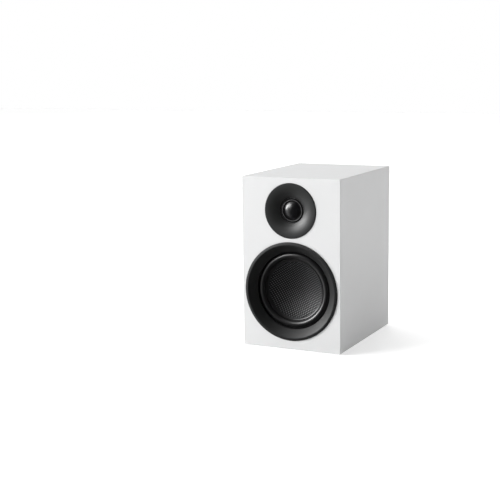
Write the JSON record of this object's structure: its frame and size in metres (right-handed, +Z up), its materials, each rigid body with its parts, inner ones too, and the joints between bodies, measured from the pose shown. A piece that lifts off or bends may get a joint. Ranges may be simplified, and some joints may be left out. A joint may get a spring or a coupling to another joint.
{
  "type": "bookshelf speaker",
  "caption": "Compact two-way bookshelf speaker: white box cabinet, black woofer with a woven concave cone, soft dome tweeter in a shallow waveguide, rear port and binding posts.",
  "frame": {"origin": "on the floor, under the centre of the cabinet's footprint, where the feet rest", "axes": "+Z up, the front baffle faces -Y, +X to the right of someone who looks at the front"},
  "size_m": [0.147, 0.199, 0.2412],
  "materials": {
    "cabinet_white": "white satin foil over fibreboard, 1 mm eased edges",
    "bare_board": "raw medium-density fibreboard",
    "ring_black": "fine satin black moulding",
    "waveguide_black": "fine textured black moulding",
    "surround_rubber": "satin butyl rubber",
    "foot_rubber": "matte rubber",
    "gasket_foam": "closed-cell foam",
    "cone_weave": "plain-woven coated fibre, charcoal",
    "spider_cloth": "corrugated impregnated cloth",
    "dome_silk": "coated black silk with a soft gloss",
    "basket_paint": "semi-gloss black on pressed steel",
    "motor_steel": "zinc-plated steel",
    "ferrite": "ground ferrite",
    "copper_wire": "enamelled copper winding",
    "former_foil": "thin foil",
    "fibre_board": "pressed fibre terminal board",
    "terminal_brass": "plated brass",
    "screw_black": "black-plated steel",
    "moulded_black": "textured black moulding",
    "knob_red": "red polished moulding",
    "knob_black": "black polished moulding",
    "knob_metal": "gold-plated, fluted grip",
    "damping_fibre": "polyester wadding",
    "circuit_board": "green solder mask",
    "capacitor_film": "yellow film wrap",
    "resistor_ceramic": "unglazed ceramic",
    "standoff_nylon": "natural nylon",
    "lead_insulation": "PVC insulation",
    "tinsel_braid": "copper tinsel braid"
  },
  "bodies": {
    "cabinet": {"front_baffle": "cabinet_white", "left_side_panel": "cabinet_white", "right_side_panel": "cabinet_white", "top_panel": "cabinet_white", "bottom_panel": "cabinet_white", "rear_panel": "cabinet_white", "window_brace": "bare_board", "rubber_feet": "foot_rubber", "damping_pads": "damping_fibre", "woofer_trim_ring": "ring_black", "woofer_gasket": "gasket_foam", "woofer_basket": "basket_paint", "woofer_screws": "screw_black", "woofer_surround": "surround_rubber", "woofer_spider": "spider_cloth", "woofer_top_plate": "motor_steel", "woofer_magnet": "ferrite", "woofer_yoke": "motor_steel", "woofer_terminal_board": "fibre_board", "woofer_terminal_tabs": "terminal_brass", "woofer_tinsel_leads": "tinsel_braid", "tweeter_waveguide": "waveguide_black", "tweeter_gasket": "gasket_foam", "tweeter_surround": "dome_silk", "tweeter_dome_ring": "moulded_black", "tweeter_top_plate": "motor_steel", "tweeter_magnet": "ferrite", "tweeter_yoke": "motor_steel", "tweeter_rear_chamber": "moulded_black", "tweeter_clamp": "moulded_black", "tweeter_screws": "screw_black", "tweeter_terminals": "terminal_brass", "port_tube": "moulded_black", "terminal_cup": "moulded_black", "terminal_cup_gasket": "gasket_foam", "terminal_cup_screws": "screw_black", "positive_post": "terminal_brass", "negative_post": "terminal_brass", "solder_lugs": "terminal_brass", "post_nuts": "motor_steel", "crossover_board": "circuit_board", "crossover_standoffs": "standoff_nylon", "crossover_coils": "copper_wire", "crossover_capacitors": "capacitor_film", "crossover_resistors": "resistor_ceramic", "input_leads": "lead_insulation", "woofer_leads": "lead_insulation", "tweeter_leads": "lead_insulation"},
    "woofer_diaphragm": {"woofer_cone": "cone_weave", "woofer_coil_former": "former_foil", "woofer_voice_coil": "copper_wire"},
    "tweeter_diaphragm": {"tweeter_dome": "dome_silk", "tweeter_voice_coil": "copper_wire"},
    "positive_collar_group": {"positive_collar": "knob_metal"},
    "positive_knob_group": {"positive_knob": "knob_metal", "positive_knob_ring": "knob_red"},
    "negative_collar_group": {"negative_collar": "knob_metal"},
    "negative_knob_group": {"negative_knob": "knob_metal", "negative_knob_ring": "knob_black"}
  },
  "joints": [
    {"name": "woofer_excursion", "type": "slide", "parent": "cabinet", "child": "woofer_diaphragm", "axis": [0, -1, 0], "range_m": [-0.004, 0.004], "stiffness_N_per_m": 1100, "deforming": ["woofer_surround", "woofer_spider", "woofer_tinsel_leads"]},
    {"name": "tweeter_excursion", "type": "slide", "parent": "cabinet", "child": "tweeter_diaphragm", "axis": [0, -1, 0], "range_m": [-0.0005, 0.0005], "stiffness_N_per_m": 3500, "deforming": ["tweeter_surround"]},
    {"name": "positive_collar_slide", "type": "slide", "parent": "cabinet", "child": "positive_collar_group", "axis": [0, 1, 0], "range_m": [0, 0.005]},
    {"name": "positive_knob_turn", "type": "hinge", "parent": "positive_collar_group", "child": "positive_knob_group", "pos_m": [-0.00953, 0.09, 0.0712], "axis": [0, 1, 0], "range_deg": [0, 1800]},
    {"name": "negative_collar_slide", "type": "slide", "parent": "cabinet", "child": "negative_collar_group", "axis": [0, 1, 0], "range_m": [0, 0.005]},
    {"name": "negative_knob_turn", "type": "hinge", "parent": "negative_collar_group", "child": "negative_knob_group", "pos_m": [0.00953, 0.09, 0.0712], "axis": [0, 1, 0], "range_deg": [0, 1800]}
  ],
  "couplings": [
    {"joint": "positive_knob_turn", "follows": "positive_collar_slide", "rad_per_m": 6283.2},
    {"joint": "negative_knob_turn", "follows": "negative_collar_slide", "rad_per_m": 6283.2}
  ]
}
